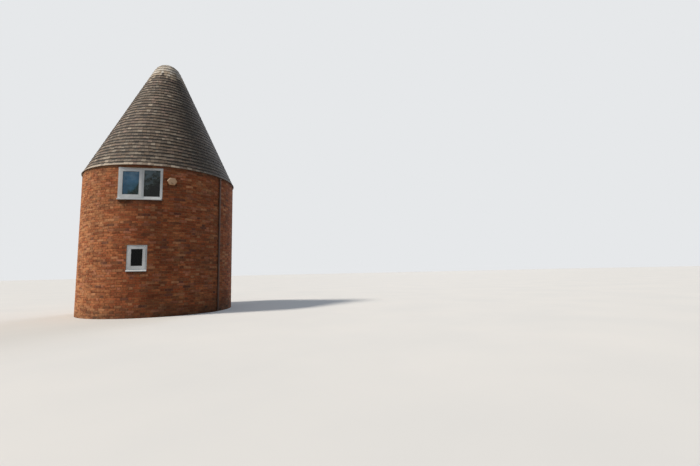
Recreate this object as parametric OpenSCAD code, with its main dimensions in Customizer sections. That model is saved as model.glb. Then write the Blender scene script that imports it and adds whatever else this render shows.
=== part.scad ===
// A round brick hop kiln under a steep conical roof with a rounded crown.
// Millimetres, +Z up. The origin is on the ground at the centre of the round wall.
// The front, with its two windows, faces -Y, and the plank door is at the back.

/* [Wall] */
// Outside diameter of the round brick wall
wall_od = 4800; // [4600:10:5600]
// Thickness of the wall, one and a half bricks
wall_t = 330; // [300:1:450]
// Height of one brick course with its joint
course_h = 75; // [72:1:80]
// Number of brick courses from the ground to the wall head
courses = 61; // [60:1:68]

/* [Floors] */
// Thickness of the brick paved ground floor
ground_floor_t = 65; // [50:1:100]
// Height of the upper floor's top face above the ground
upper_floor_z = 2450; // [2420:5:2600]
// Thickness of the upper floor's boards
board_t = 22; // [18:1:32]
// Width of a floor joist
joist_w = 50; // [38:1:75]
// Depth of a floor joist
joist_d = 175; // [125:1:200]
// Distance between two joists, centre to centre
joist_spacing = 360; // [350:5:365]
// Length of joist that bears in the wall at each end
joist_end_l = 100; // [75:1:120]

/* [Roof] */
// Slope of the conical roof, in degrees
roof_pitch = 65.2; // [62:0.1:68]
// Length of each course of shingles that shows
gauge = 138; // [110:1:170]
// Thickness of the covering at the butt of a course
butt_t = 24; // [18:1:36]
// Thickness of the covering where the next course laps over it
lap_t = 12; // [8:1:17]
// Extra thickness of the doubled course at the eaves
eaves_double_t = 8; // [0:1:15]
// Length of the first course below the wall head, along the slope
eaves_drip = 24; // [10:1:40]
// Clearance between the wall's edge and the underside of the covering
eaves_clear = 2; // [1:0.5:10]
// Radius at which the cone turns into the rounded crown
crown_r = 435; // [400:1:520]
// Number of shingle courses on the crown
crown_courses_n = 3; // [2:1:4]
// Radius of the cap piece on the crown
cap_r = 190; // [150:1:240]
// Thickness of the cap piece
cap_t = 12; // [6:1:20]
// Number of rafters
rafter_n = 16; // [12:1:18]
// Width of a rafter
rafter_w = 50; // [38:1:60]
// Depth of a rafter, square to the slope
rafter_d = 100; // [90:1:125]
// Width of a batten
batten_w = 38; // [25:1:50]
// Thickness of a batten
batten_t = 25; // [19:1:32]
// Width of the wall plate
plate_w = 100; // [90:1:120]
// Height of the wall plate
plate_h = 75; // [50:1:100]
// Height of the kerb ring's straight side, along the slope
kerb_l = 140; // [100:1:200]

/* [Windows] */
// Width of the upper window's frame
upper_w = 1220; // [1000:5:1280]
// Height of the upper window's frame
upper_h = 950; // [800:5:990]
// Height of the one course of brick between the upper window and the wall head
upper_head_h = 85; // [80:1:90]
// Distance from the middle of the upper window to the middle of its mullion
mullion_x = 52; // [-100:1:100]
// Width of the lower window's frame
lower_w = 548; // [480:5:700]
// Height of the lower window's frame
lower_h = 738; // [600:1:775]
// Height of the lower window's sill underside above the ground
lower_z = 1349; // [1200:5:1360]
// Face width of a window frame
frame_face = 55; // [50:1:75]
// Face width of an opening casement
casement_face = 76; // [60:1:85]
// How far a casement laps over its frame
casement_lap = 12; // [8:1:18]
// Depth of a window frame, front to back
frame_d = 70; // [60:1:90]
// Thickness of a sealed glazing unit
glass_t = 24; // [14:1:28]
// How far the upper frame's face is set back from the wall's outermost point
upper_set_back = 70; // [60:1:120]
// How far the lower frame's face is set back from the wall's outermost point
lower_set_back = 25; // [20:1:80]
// Height of a sill's front edge
sill_nose_h = 34; // [25:1:45]
// Height of a sill against its frame
sill_h = 46; // [36:1:60]
// How far the lower sill's nose stands out past the wall's outermost point
lower_sill_nose = 22; // [10:1:24]
// How far the upper sill's nose stands out past the wall's outermost point
upper_sill_nose = 6; // [2:1:24]

/* [Door] */
// Width of the doorway in the back wall
door_w = 950; // [850:5:1050]
// Height of the doorway
door_h = 2040; // [1950:5:2080]
// Face width of the door frame
door_frame_face = 60; // [45:1:75]
// Depth of the door frame, front to back
door_frame_d = 90; // [75:1:110]
// Thickness of the door's boards
plank_t = 27; // [20:1:32]
// Width of a board in the door
plank_w = 118; // [90:1:160]
// How far the door frame's face is set back from the wall's outermost point
door_set_back = 100; // [90:1:130]

/* [Alarm box] */
// Width of the alarm box, corner to corner
alarm_w = 290; // [200:1:330]
// Height of the alarm box
alarm_h = 231; // [180:1:300]
// Depth of the alarm box
alarm_d = 70; // [50:1:80]
// Wall of the alarm box's cover
alarm_t = 3; // [2:0.5:5]
// Height of the alarm box's middle above the ground
alarm_z = 4110; // [3600:5:4150]
// Angle round the wall from the middle of the front to the alarm box
alarm_a = 20.9; // [20.5:0.1:40]

/* [Pipe] */
// Outside diameter of the pipe on the wall
pipe_d = 63; // [40:1:68]
// Wall of the pipe
pipe_t = 3; // [2:0.5:5]
// Gap between the pipe and the wall
pipe_stand = 12; // [8:1:16]
// Angle round the wall from the middle of the front to the pipe
pipe_a = 60.6; // [56:0.1:64]
// Height of the pipe's top below the wall head
pipe_drop = 60; // [50:1:300]
// Number of clips that hold the pipe
clip_n = 4; // [2:1:6]

/* [Hidden] */

$fn = 360;
fine = 64; // facets of small round pieces
seat = 0.3; // clearance between curved faces that rest on each other
fit = 2; // clearance round a timber that is built into brickwork
over = 10; // how far a cut runs past the face that it opens

brick = "#9c5a3c";
pale_wood = "#b89b78";
oak = "#8a7460";
shingle = "#7d6e60";
cream = "#d9cfb8";
upvc = "#eceff0";
clear = "#5c7480";
iron = "#2c2a29";
plastic_brown = "#3f2a22";

segment_a = 45; // a round wall of eight segments
wall_r = wall_od / 2;
inner_r = wall_r - wall_t;
wall_h = courses * course_h;
joist_top = upper_floor_z - board_t;

// Every segment of wall and roof is placed by its angle round the wall: 0 at the front, then to the right
front = 0;
front_right = 45;
right = 90;
back_right = 135;
back = 180;
back_left = 225;
left = 270;
front_left = 315;

// Turns a profile drawn in radius and height through one segment
module turned_segment(a) {
    rotate_extrude(angle = segment_a, start = a - 90 - segment_a / 2) children();
}

// Places children that face -Y at the origin so that they face outwards at an angle round the wall
module round_wall(a, r) {
    rotate([0, 0, a]) translate([0, -r, 0]) children();
}

// A box that is centred on X, from y0 to y1 and from z0 to z1
module block(w, y0, y1, z0, z1) {
    translate([-w / 2, y0, z0]) cube([w, y1 - y0, z1 - z0]);
}

// Floor joists and their pockets

last_joist_gap = 150; // least distance from the last joist to the wall
joist_rows = floor((inner_r - last_joist_gap) / joist_spacing);

function joist_half(y) =
    sqrt(pow(inner_r, 2) - pow(abs(y) + joist_w / 2, 2)) + joist_end_l;

// One joist at each row, larger by a clearance on its sides and top when it is a pocket
module joist_row(gap) {
    for (i = [-joist_rows:joist_rows]) {
        y = i * joist_spacing;
        half = joist_half(y) + gap;
        translate([-half, y - joist_w / 2 - gap, joist_top - joist_d])
            cube([2 * half, joist_w + 2 * gap, joist_d + gap]);
    }
}

module joist_pockets() {
    difference() {
        joist_row(fit);
        translate([0, 0, joist_top - joist_d - over])
            cylinder(r = inner_r - over, h = joist_d + 3 * over);
    }
}

module floor_joists() {
    color(pale_wood) joist_row(0);
}

module floor_boards() {
    color(pale_wood)
        translate([0, 0, joist_top]) cylinder(r = inner_r - fit, h = board_t);
}

// Brick paving inside the wall, which runs on through the doorway to the door frame
module ground_floor() {
    color(brick) {
        cylinder(r = inner_r - seat, h = ground_floor_t);
        rotate([0, 0, back])
            block(door_w - 2 * frame_gap, -door_face + door_frame_d, -inner_r / 2, 0,
                ground_floor_t);
    }
}

// Window and door places, all worked out in the segment that faces -Y

upper_face = wall_r - upper_set_back;
upper_top = wall_h - upper_head_h;
upper_bottom = upper_top - upper_h;
lower_face = wall_r - lower_set_back;
lower_bottom = lower_z + sill_h;
lower_top = lower_bottom + lower_h;
door_face = wall_r - door_set_back;
lintel_bearing = 100;
lintel_d = 200;
door_lintel_set_back = 60; // from the door frame's face
lower_lintel_h = 2 * course_h;
lintel_cover = 105; // half a brick of wall in front of a window's lintel
door_lintel_h = 2 * course_h;
frame_gap = 1; // gap between a frame and the brickwork at its sides

// Space that a window and its sill take out of the wall, through its whole thickness
module window_gap(w, bottom, top) {
    block(w + 2 * frame_gap, -wall_r - over, -inner_r + wall_t, bottom - sill_h, top);
}

// A lintel over an opening w wide, or its pocket when it has a gap and a rise above its top
module lintel_bar(w, face, z, h, gap = 0, rise = 0) {
    block(w + 2 * lintel_bearing + 2 * gap, -face - gap, -face + lintel_d + gap, z, z + h + rise);
}

module upper_lintel_bar(gap = 0, rise = 0) {
    lintel_bar(upper_w, wall_r - lintel_cover, upper_top, upper_head_h, gap, rise);
}

module lower_lintel_bar(gap = 0, rise = 0) {
    lintel_bar(lower_w, wall_r - lintel_cover, lower_top, lower_lintel_h, gap, rise);
}

module door_lintel_bar(gap = 0, rise = 0) {
    lintel_bar(door_w, door_face - door_lintel_set_back, door_h, door_lintel_h, gap, rise);
}

// Wall segments

module wall_segment(a) {
    color(brick)
        difference() {
            turned_segment(a) translate([inner_r, 0]) square([wall_t, wall_h]);
            joist_pockets();
            children();
        }
}

module front_wall() {
    wall_segment(front) {
        window_gap(upper_w, upper_bottom, upper_top);
        upper_lintel_bar(fit, over);
        window_gap(lower_w, lower_bottom, lower_top);
        lower_lintel_bar(fit, fit);
    }
}

module front_right_wall() { wall_segment(front_right); }
module right_wall() { wall_segment(right); }
module back_right_wall() { wall_segment(back_right); }

module back_wall() {
    wall_segment(back) rotate([0, 0, back]) {
        block(door_w, -wall_r - over, -inner_r + wall_t, -over, door_h);
        door_lintel_bar(fit, fit);
    }
}

module back_left_wall() { wall_segment(back_left); }
module left_wall() { wall_segment(left); }
module front_left_wall() { wall_segment(front_left); }

// Roof geometry: s runs up the slope from the wall head, n stands out square to it

cover_r = wall_r + eaves_clear;
slope_l = (cover_r - crown_r) / cos(roof_pitch);

function on_cone(s, n) = [
    cover_r - s * cos(roof_pitch) + n * sin(roof_pitch),
    wall_h + s * sin(roof_pitch) + n * cos(roof_pitch)
];

// Radius at a height, on the cone that lies n outside the underside of the covering
function r_at(z, n) =
    cover_r + n * sin(roof_pitch) - (z - wall_h - n * cos(roof_pitch)) / tan(roof_pitch);

shingle_rows = ceil((slope_l + eaves_drip) / gauge);

function row_s(i) = min(i * gauge - eaves_drip, slope_l);

// Sawtooth section of the covering: every course starts at its butt and runs under the next one
function butt_n(i) = butt_t + (i == 0 ? eaves_double_t : 0);

cover_section = concat(
    [on_cone(slope_l, 0), on_cone(-eaves_drip, 0)],
    [for (i = [0:shingle_rows - 1]) each [
        on_cone(row_s(i), butt_n(i)),
        on_cone(row_s(i + 1), lap_t)
    ]]
);

module roof_segment(a) {
    color(shingle) turned_segment(a) polygon(cover_section);
}

module front_roof() { roof_segment(front); }
module front_right_roof() { roof_segment(front_right); }
module right_roof() { roof_segment(right); }
module back_right_roof() { roof_segment(back_right); }
module back_roof() { roof_segment(back); }
module back_left_roof() { roof_segment(back_left); }
module left_roof() { roof_segment(left); }
module front_left_roof() { roof_segment(front_left); }

// Crown: a ball that the cone meets without a break, covered by a few short courses and a cap

ball_r = crown_r / sin(roof_pitch);
ball_z = on_cone(slope_l, 0)[1] - ball_r * cos(roof_pitch);

// p is the angle from straight up
function on_ball(p, n) = [(ball_r + n) * sin(p), ball_z + (ball_r + n) * cos(p)];

seat_a = atan(seat / ball_r);
crown_foot_a = roof_pitch - seat_a;
cap_a = asin(cap_r / ball_r);
cap_lap_a = 4;
crown_end_a = cap_a - cap_lap_a;
crown_step_a = (crown_foot_a - cap_a) / crown_courses_n;
arc_steps = 4;

crown_outside = [for (i = [0:crown_courses_n - 1]) for (k = [0:arc_steps])
    on_ball(
        crown_foot_a - (i + k / arc_steps) * crown_step_a,
        butt_t + (lap_t - butt_t) * k / arc_steps
    )];
crown_inside = [for (k = [0:3 * arc_steps])
    on_ball(crown_end_a + (crown_foot_a - crown_end_a) * k / (3 * arc_steps), 0)];

module crown_courses() {
    color(cream)
        rotate_extrude() polygon(concat(
            crown_outside,
            [on_ball(cap_a, lap_t), on_ball(crown_end_a, lap_t)],
            crown_inside
        ));
}

// The cap is a shallow dished sheet that laps over the top course and turns down at its edge
cap_outside = [for (k = [0:3 * arc_steps])
    on_ball(cap_a * k / (3 * arc_steps), lap_t + seat + cap_t)];
cap_inside = [for (k = [3 * arc_steps:-1:0])
    on_ball(cap_a * k / (3 * arc_steps), lap_t + seat)];

module crown_cap() {
    color(cream) rotate_extrude() polygon(concat(cap_outside, cap_inside));
}

// Kerb ring: it stands on the rafter heads and carries the crown
kerb_lap = 20; // how far the kerb reaches in past the rafters
kerb_foot = on_cone(slope_l - kerb_l, -seat);
kerb_in_r = r_at(kerb_foot[1], -batten_t - rafter_d) - kerb_lap;
kerb_arc_a = 16;

module roof_kerb() {
    color(pale_wood)
        rotate_extrude() polygon(concat(
            [[kerb_in_r, kerb_foot[1]], kerb_foot, on_cone(slope_l, -seat)],
            [for (k = [1:arc_steps]) on_ball(roof_pitch - kerb_arc_a * k / arc_steps, -seat)],
            [[kerb_in_r, on_ball(roof_pitch - kerb_arc_a, -seat)[1]]]
        ));
}

// Timbers of the roof

rafter_out = -batten_t - seat;
rafter_in = -batten_t - rafter_d;
plate_top = wall_h + plate_h;
plate_out_share = 0.7; // share of the plate that lies outside the rafters' inner edge
plate_out_r = r_at(plate_top, rafter_in) + plate_out_share * plate_w;
plate_in_r = plate_out_r - plate_w;

module wall_plate() {
    color(pale_wood)
        translate([0, 0, wall_h])
            rotate_extrude() translate([plate_in_r, 0]) square([plate_w, plate_h]);
}

// Each rafter is notched over the plate, and its foot stands on the wall head
rafter_section = [
    [r_at(plate_top, rafter_in), plate_top],
    [plate_out_r + seat, plate_top],
    [plate_out_r + seat, wall_h],
    [r_at(wall_h, rafter_out), wall_h],
    [r_at(kerb_foot[1], rafter_out), kerb_foot[1]],
    [r_at(kerb_foot[1], rafter_in), kerb_foot[1]]
];

module rafters() {
    color(pale_wood)
        intersection() {
            rotate_extrude() polygon(rafter_section);
            for (i = [0:rafter_n - 1])
                rotate([0, 0, (i + 0.5) * 360 / rafter_n])
                    translate([kerb_in_r, -rafter_w / 2, wall_h - over])
                        cube([wall_r, rafter_w, slope_l + 2 * over]);
        }
}

batten_first_s = 30;
batten_rows = floor((slope_l - kerb_l - batten_first_s - batten_w) / gauge);

module battens() {
    color(pale_wood)
        for (i = [0:batten_rows]) {
            s = batten_first_s + i * gauge;
            rotate_extrude() polygon([
                on_cone(s, -batten_t),
                on_cone(s + batten_w, -batten_t),
                on_cone(s + batten_w, -seat),
                on_cone(s, -seat)
            ]);
        }
}

// Windows

// A flat frame that faces -Y, with its front at y = 0 and its foot at z = 0
module flat_frame(w, h, face, d) {
    difference() {
        block(w, 0, d, 0, h);
        block(w - 2 * face, -over, d + over, face, h - face);
    }
}

// Sill: a sloping top behind an upright nose, with a drip groove under it
sill_tail = 20; // how far the sill runs in past the back of the frame
sill_lead = 4; // level strip of the sill in front of the frame
sill_arris = 5; // bevel on the top of the sill's nose
groove = 8;
groove_y = 1.5 * groove; // from the nose to the groove

module sill_bar(w, nose_y, face_y) {
    back_y = face_y + frame_d + sill_tail;
    translate([-w / 2, 0, 0]) rotate([90, 0, 90])
        linear_extrude(w) polygon([
            [nose_y, 0],
            [nose_y + groove_y, 0],
            [nose_y + groove_y, groove],
            [nose_y + groove_y + groove, groove],
            [nose_y + groove_y + groove, 0],
            [back_y, 0],
            [back_y, sill_h],
            [face_y - sill_lead, sill_h],
            [nose_y + sill_arris, sill_nose_h],
            [nose_y, sill_nose_h - sill_arris]
        ]);
}

// Upper window, with a casement on its left and a fixed light on its right
light_left_x0 = -upper_w / 2 + frame_face;
mullion_face = 56;
light_left_x1 = mullion_x - mullion_face / 2;
light_right_x0 = mullion_x + mullion_face / 2;
light_right_x1 = upper_w / 2 - frame_face;
light_z0 = upper_bottom + frame_face;
light_z1 = upper_top - frame_face;
bead = 10; // glazing bead round the fixed light
glass_y = (frame_d - glass_t) / 2; // from a frame's face to its glass
rebate = 8; // how far the glass runs into the frame's rebate

module at_upper_frame() { translate([0, -upper_face, 0]) children(); }

module pane(x0, x1, z0, z1, y, t) {
    translate([x0, y, z0]) cube([x1 - x0, t, z1 - z0]);
}

module upper_window_frame() {
    color(upvc) at_upper_frame() difference() {
        block(upper_w, 0, frame_d, upper_bottom, upper_top);
        pane(light_left_x0, light_left_x1, light_z0, light_z1, -over, frame_d + 2 * over);
        pane(light_right_x0 + bead, light_right_x1 - bead, light_z0 + bead, light_z1 - bead,
            -over, frame_d + 2 * over);
        pane(light_right_x0 + bead - rebate, light_right_x1 - bead + rebate,
            light_z0 + bead - rebate, light_z1 - bead + rebate, glass_y, glass_t);
    }
}

// A casement: a face that laps over the frame, and a body that fills the light behind it
casement_front = 18;
casement_gap = 3;

module casement(x0, x1, z0, z1) {
    xa = x0 - casement_lap;
    xb = x1 + casement_lap;
    za = z0 - casement_lap;
    zb = z1 + casement_lap;
    xg0 = xa + casement_face;
    xg1 = xb - casement_face;
    zg0 = za + casement_face;
    zg1 = zb - casement_face;
    difference() {
        union() {
            pane(xa, xb, za, zb, -casement_front, casement_front);
            pane(x0 + casement_gap, x1 - casement_gap, z0 + casement_gap, z1 - casement_gap,
                0, frame_d - casement_front);
        }
        pane(xg0, xg1, zg0, zg1, -casement_front - over, frame_d + 2 * over);
        pane(xg0 - rebate, xg1 + rebate, zg0 - rebate, zg1 + rebate,
            glass_y - casement_front, glass_t);
    }
}

// The sealed unit of a casement, seated in its rebate
module casement_pane(x0, x1, z0, z1) {
    inset = casement_face - casement_lap - rebate;
    pane(x0 + inset, x1 - inset, z0 + inset, z1 - inset, glass_y - casement_front, glass_t);
}

module upper_window_casement() {
    color(upvc) at_upper_frame()
        casement(light_left_x0, light_left_x1, light_z0, light_z1);
}

module upper_casement_glass() {
    color(clear) at_upper_frame()
        casement_pane(light_left_x0, light_left_x1, light_z0, light_z1);
}

module upper_fixed_glass() {
    inset = bead - rebate;
    color(clear) at_upper_frame()
        pane(light_right_x0 + inset, light_right_x1 - inset, light_z0 + inset,
            light_z1 - inset, glass_y, glass_t);
}

module upper_window_sill() {
    color(upvc)
        translate([0, 0, upper_bottom - sill_h])
            sill_bar(upper_w, -wall_r - upper_sill_nose, -upper_face);
}

module upper_window_lintel() {
    color(oak) upper_lintel_bar();
}

// Lower window, one small casement
low_x = lower_w / 2 - frame_face;
low_z0 = lower_bottom + frame_face;
low_z1 = lower_top - frame_face;

module at_lower_frame() { translate([0, -lower_face, 0]) children(); }

module lower_window_frame() {
    color(upvc) at_lower_frame()
        translate([0, 0, lower_bottom]) flat_frame(lower_w, lower_h, frame_face, frame_d);
}

module lower_window_casement() {
    color(upvc) at_lower_frame() casement(-low_x, low_x, low_z0, low_z1);
}

module lower_casement_glass() {
    color(clear) at_lower_frame() casement_pane(-low_x, low_x, low_z0, low_z1);
}

module lower_window_sill() {
    color(upvc)
        translate([0, 0, lower_z]) sill_bar(lower_w, -wall_r - lower_sill_nose, -lower_face);
}

module lower_window_lintel() {
    color(oak) lower_lintel_bar();
}

// Door at the back: a frame, ledged boards and their ironwork
door_clear = 3;
leaf_w = door_w - 2 * door_frame_face - 2 * door_clear;
leaf_z = ground_floor_t + door_clear;
leaf_h = door_h - door_frame_face - door_clear - leaf_z;
stop_w = 14;
ledge_h = 145;
ledge_t = 30;
ledge_end = 150; // from an end of the boards to the nearest ledge
ledge_inset = 30; // from a side of the boards to a ledge's end
ledge_z = [
    leaf_z + ledge_end,
    leaf_z + leaf_h / 2 - ledge_h / 2,
    leaf_z + leaf_h - ledge_end - ledge_h
];
v_joint = 5; // width of the joint between two boards
strap_h = 36;
strap_t = 5;
strap_share = 0.72; // share of the leaf's width that a strap takes
strap_l = strap_share * leaf_w;
flap_w = 36; // the part of a hinge that is fixed to the frame
knuckle_r = 8;
latch_in = 70; // from the edge of the boards to the middle of the latch
latch_w = 32;
latch_h = 190;
handle_h = 110;
handle_r = 7;
handle_out = 28; // from the boards to the middle of the handle

module at_door() {
    rotate([0, 0, back]) translate([0, -door_face, 0]) children();
}

module door_lintel() {
    color(oak) rotate([0, 0, back]) door_lintel_bar();
}

module door_frame() {
    opening_w = door_w - 2 * door_frame_face;
    opening_h = door_h - door_frame_face;
    color(oak) at_door() {
        difference() {
            block(door_w, 0, door_frame_d, 0, door_h);
            block(opening_w, -over, plank_t + seat, -over, opening_h);
            block(opening_w - 2 * stop_w, -over, door_frame_d + over, -over,
                opening_h - stop_w);
        }
        block(opening_w, 0, door_frame_d, 0, ground_floor_t);
    }
}

module door_planks() {
    rows = round(leaf_w / plank_w);
    step = leaf_w / rows;
    color(oak) at_door() {
        difference() {
            block(leaf_w, 0, plank_t, leaf_z, leaf_z + leaf_h);
            for (i = [1:rows - 1])
                translate([-leaf_w / 2 + i * step, 0, leaf_z - over]) rotate([0, 0, 45])
                    translate([-v_joint / 2, -v_joint / 2, 0])
                        cube([v_joint, v_joint, leaf_h + 2 * over]);
        }
        for (z = ledge_z)
            block(leaf_w - 2 * ledge_inset, plank_t, plank_t + ledge_t, z, z + ledge_h);
    }
}

module door_ironwork() {
    knuckle_x = leaf_w / 2 + door_clear / 2;
    color(iron) at_door() {
        for (z = [ledge_z[0], ledge_z[2]])
            translate([knuckle_x, 0, z + ledge_h / 2 - strap_h / 2]) {
                translate([-strap_l, -strap_t, 0])
                    cube([strap_l + flap_w, strap_t, strap_h]);
                translate([0, -knuckle_r, 0]) cylinder(r = knuckle_r, h = strap_h, $fn = fine);
            }
        // Latch: a back plate with a bowed handle
        translate([-leaf_w / 2 + latch_in, 0, ledge_z[1]]) {
            block(latch_w, -strap_t, 0, 0, latch_h);
            translate([0, -handle_out, (latch_h - handle_h) / 2])
                cylinder(r = handle_r, h = handle_h, $fn = fine);
            for (z = [(latch_h - handle_h) / 2, (latch_h + handle_h) / 2 - 2 * handle_r])
                block(2 * handle_r, -handle_out, -strap_t, z, z + 2 * handle_r);
        }
    }
}

// Alarm box: a six-sided housing on a back plate that follows the wall
alarm_flat = 0.52; // share of the width that the flat top and bottom take
alarm_base_t = 14;
alarm_base_inset = 6; // how far the back plate lies inside the cover's outline
alarm_side_share = 0.55; // share of the cover's depth that its upright sides take
alarm_bevel = 25; // how far the cover's front lies inside its outline
slot_n = 5;
slot_w = 70;
slot_h = 3.5;
slot_step = 8;
slot_low = 36; // from the box's lowest edge to the first slot
panel_w = 170; // raised bare panel in the middle of the cover
panel_h = 62;
panel_t = 2;

module six_sides(w, h) {
    f = w * alarm_flat / 2;
    polygon([[-w / 2, 0], [-f, -h / 2], [f, -h / 2], [w / 2, 0], [f, h / 2], [-f, h / 2]]);
}

// Children are drawn flat, then stand upright with their face outwards
module at_alarm() {
    round_wall(alarm_a, wall_r) translate([0, 0, alarm_z]) rotate([90, 0, 0]) children();
}

module alarm_box_base() {
    color(cream)
        difference() {
            at_alarm() translate([0, 0, -alarm_base_t])
                linear_extrude(2 * alarm_base_t)
                    six_sides(alarm_w - 2 * alarm_base_inset, alarm_h - 2 * alarm_base_inset);
            cylinder(r = wall_r + seat, h = wall_h);
        }
}

module alarm_box_cover() {
    rim = alarm_base_t + seat;
    depth = alarm_d - rim - panel_t;
    front_w = alarm_w - 2 * alarm_bevel;
    front_h = alarm_h - 2 * alarm_bevel;
    color(cream) at_alarm() translate([0, 0, rim]) {
        difference() {
            hull() {
                linear_extrude(depth * alarm_side_share) six_sides(alarm_w, alarm_h);
                linear_extrude(depth) six_sides(front_w, front_h);
            }
            translate([0, 0, -over]) linear_extrude(depth - alarm_t + over)
                six_sides(front_w - 2 * alarm_t, front_h - 2 * alarm_t);
            for (i = [0:slot_n - 1])
                translate([-slot_w / 2, -alarm_h / 2 + slot_low + i * slot_step, depth - 2 * alarm_t])
                    cube([slot_w, slot_h, 3 * alarm_t]);
        }
        translate([-panel_w / 2, -panel_h / 2, depth - alarm_t])
            cube([panel_w, panel_h, alarm_t + panel_t]);
    }
}

// Pipe and its clips
pipe_r = pipe_d / 2;
pipe_axis_r = wall_r + pipe_stand + pipe_r;
pipe_top = wall_h - pipe_drop;
clip_t = 4;
clip_h = 28;
clip_neck_w = 24; // web between a clip's band and its foot
clip_foot_w = 90;
clip_bite = 4; // how far a foot runs past the wall's face before it is shaped to the wall
clip_first_z = 350;
clip_step = (pipe_top - 2 * clip_first_z) / (clip_n - 1);

module wall_pipe() {
    color(plastic_brown) round_wall(pipe_a, pipe_axis_r) difference() {
        cylinder(r = pipe_r, h = pipe_top, $fn = fine);
        translate([0, 0, -over])
            cylinder(r = pipe_r - pipe_t, h = pipe_top + 2 * over, $fn = fine);
    }
}

// Each clip is a band round the pipe with a foot that is screwed to the wall
module pipe_clips() {
    color(plastic_brown) difference() {
        round_wall(pipe_a, pipe_axis_r)
            for (i = [0:clip_n - 1])
                translate([0, 0, clip_first_z + i * clip_step]) {
                    cylinder(r = pipe_r + seat + clip_t, h = clip_h, $fn = fine);
                    translate([-clip_neck_w / 2, 0, 0])
                        cube([clip_neck_w, pipe_r + pipe_stand + clip_bite, clip_h]);
                    translate([-clip_foot_w / 2, pipe_r + pipe_stand - clip_t, 0])
                        cube([clip_foot_w, clip_t + clip_bite, clip_h]);
                }
        round_wall(pipe_a, pipe_axis_r) cylinder(r = pipe_r + seat, h = wall_h, $fn = fine);
        cylinder(r = wall_r + seat, h = wall_h);
    }
}

front_wall();
front_right_wall();
right_wall();
back_right_wall();
back_wall();
back_left_wall();
left_wall();
front_left_wall();
ground_floor();
floor_joists();
floor_boards();
wall_plate();
rafters();
battens();
roof_kerb();
front_roof();
front_right_roof();
right_roof();
back_right_roof();
back_roof();
back_left_roof();
left_roof();
front_left_roof();
crown_courses();
crown_cap();
upper_window_lintel();
upper_window_frame();
upper_window_casement();
upper_casement_glass();
upper_fixed_glass();
upper_window_sill();
lower_window_lintel();
lower_window_frame();
lower_window_casement();
lower_casement_glass();
lower_window_sill();
door_lintel();
door_frame();
door_planks();
door_ironwork();
alarm_box_base();
alarm_box_cover();
wall_pipe();
pipe_clips();
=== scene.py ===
import bpy
import random
from functools import partial
from math import asin, cos, degrees, hypot, pi, radians, sin, sqrt
from mathutils import Matrix, Vector


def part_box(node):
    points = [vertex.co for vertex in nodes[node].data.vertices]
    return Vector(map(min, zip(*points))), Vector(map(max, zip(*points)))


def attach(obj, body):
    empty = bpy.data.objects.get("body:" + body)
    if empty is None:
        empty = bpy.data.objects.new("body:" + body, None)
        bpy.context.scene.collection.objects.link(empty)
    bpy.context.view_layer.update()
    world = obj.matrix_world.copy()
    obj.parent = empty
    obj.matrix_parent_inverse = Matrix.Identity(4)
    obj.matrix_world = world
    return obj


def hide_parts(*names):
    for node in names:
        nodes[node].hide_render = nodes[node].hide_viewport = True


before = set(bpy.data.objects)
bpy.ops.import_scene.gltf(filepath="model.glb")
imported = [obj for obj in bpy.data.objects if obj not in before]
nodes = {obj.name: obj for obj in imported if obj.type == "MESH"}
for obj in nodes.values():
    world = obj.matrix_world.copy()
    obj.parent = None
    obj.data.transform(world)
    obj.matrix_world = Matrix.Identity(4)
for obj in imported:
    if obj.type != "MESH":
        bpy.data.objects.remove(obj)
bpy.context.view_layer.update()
print("frame loaded:", len(nodes), "nodes")

mm = 0.001
dice = random.Random(1874)
segmentNames = ["front", "front_right", "right", "back_right", "back", "back_left", "left", "front_left"]
segmentTurn = 360 / len(segmentNames)  # degrees


def camel(text):
    words = text.split("_")
    return words[0] + "".join(word.capitalize() for word in words[1:])


def ring(angle, radius, height):
    # angles go round the wall in degrees: 0 is the front, -Y, and 90 is the right, +X
    a = radians(angle)
    return (radius * sin(a), -radius * cos(a), height)


def turned(angle, axis):
    return Matrix.Rotation(radians(angle), 4, axis)


# materials

def toLinear(code):
    # sRGB hex text to a linear colour
    parts = [int(code[i:i + 2], 16) / 255 for i in (1, 3, 5)]
    return tuple(p / 12.92 if p <= 0.04045 else ((p + 0.055) / 1.055) ** 2.4 for p in parts) + (1,)


def addNode(tree, kind, *values, out=None, size=None, stops=(), **settings):
    # values go to the inputs in use, in their order, settings to an input or property by its name; a socket
    # is linked, and hex text is a colour; size is a pattern's real size, stops are those of a colour ramp;
    # the answer is the output named out, or the first one in use
    node = tree.nodes.new("ShaderNode" + kind)
    if stops:
        band = node.color_ramp.elements
        for place, code in stops[1:-1]:
            band.new(place)
        band[0].position, band[-1].position = stops[0][0], stops[-1][0]
        for stop, (place, code) in zip(band, stops):
            stop.color = toLinear(code)
    if size:
        settings["Scale"] = 1 / size
    for name in [name for name in settings if name not in node.inputs]:
        setattr(node, name, settings.pop(name))
    inUse = [socket for socket in node.inputs if socket.enabled]
    named = [(node.inputs[name], value) for name, value in settings.items()]
    for socket, value in list(zip(inUse, values)) + named:
        if isinstance(value, bpy.types.NodeSocket):
            tree.links.new(value, socket)
        else:
            socket.default_value = toLinear(value) if isinstance(value, str) else value
    return node.outputs[out] if out else next((socket for socket in node.outputs if socket.enabled), None)


def startMaterial(name, roughness, shine=0.5, metal=0, **settings):
    # a material, what adds nodes to it, and the place on the part that its patterns go by
    material = bpy.data.materials.new(name)
    material.use_nodes = True
    shader = material.node_tree.nodes["Principled BSDF"]
    settings.update({"Roughness": roughness, "Specular IOR Level": shine, "Metallic": metal})
    for key, value in settings.items():
        shader.inputs[key].default_value = value
    add = partial(addNode, material.node_tree)
    return material, add, add("TexCoord", out="Object")


def finishMaterial(material, colour, height=None, strength=0.5, depth=1 * mm):
    tree = material.node_tree
    shader = tree.nodes["Principled BSDF"]
    tree.links.new(colour, shader.inputs["Base Color"])
    if height:
        bump = addNode(tree, "Bump", Strength=strength, Distance=depth, Height=height)
        tree.links.new(bump, shader.inputs["Normal"])
    return material


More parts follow.
